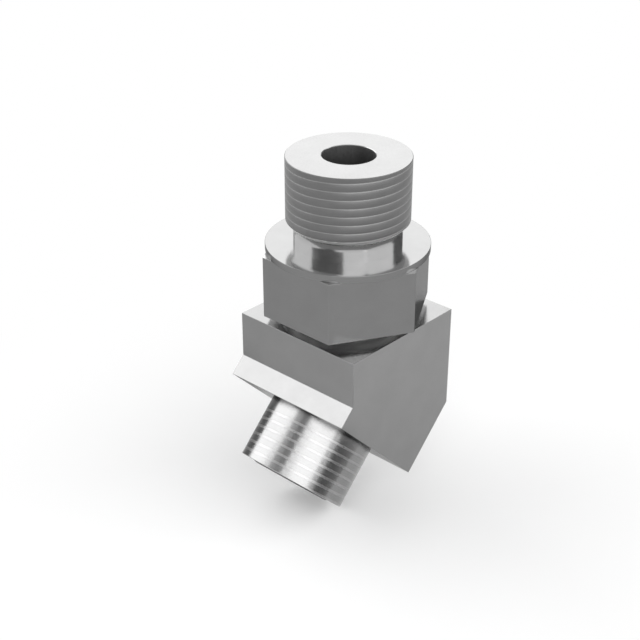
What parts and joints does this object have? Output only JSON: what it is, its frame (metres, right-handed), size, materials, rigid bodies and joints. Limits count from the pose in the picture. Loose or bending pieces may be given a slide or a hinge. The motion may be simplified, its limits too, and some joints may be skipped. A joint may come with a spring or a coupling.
{
  "type": "forty-five degree elbow adapter",
  "caption": "Forty-five degree hydraulic elbow adapter: square bar body, adjustable threaded stud with locknut and backup washer, and a threaded leg with a face seal.",
  "frame": {"origin": "where the axis of the stud's bore crosses the axis of the leg's bore", "axes": "+Z along the stud's bore, out of its open end; the leg points down towards -X and -Z at forty-five degrees; +Y is square to the plane of the bend"},
  "size_m": [0.0371, 0.0312, 0.0669],
  "materials": {
    "plated_steel": "machined, clear zinc plate",
    "plated_steel_nut": "machined hexagon, clear zinc plate",
    "plated_steel_washer": "flat ground, clear zinc plate",
    "seal_rubber": "satin moulded rubber"
  },
  "bodies": {
    "fitting_body": {"elbow_body": "plated_steel", "face_seal": "seal_rubber"},
    "washer_slider": {"backup_washer": "plated_steel_washer"},
    "locknut_rotor": {"locknut": "plated_steel_nut"}
  },
  "joints": [
    {"name": "washer_slide", "type": "slide", "parent": "fitting_body", "child": "washer_slider", "axis": [0, 0, 1], "range_m": [-0.0012, 0.0015]},
    {"name": "locknut_turn", "type": "hinge", "parent": "washer_slider", "child": "locknut_rotor", "pos_m": [0, 0, 0.0215], "axis": [0, 0, 1], "range_deg": [-288, 360]}
  ],
  "couplings": [
    {"joint": "washer_slide", "follows": "locknut_turn", "m_per_rad": 0.00023873}
  ]
}
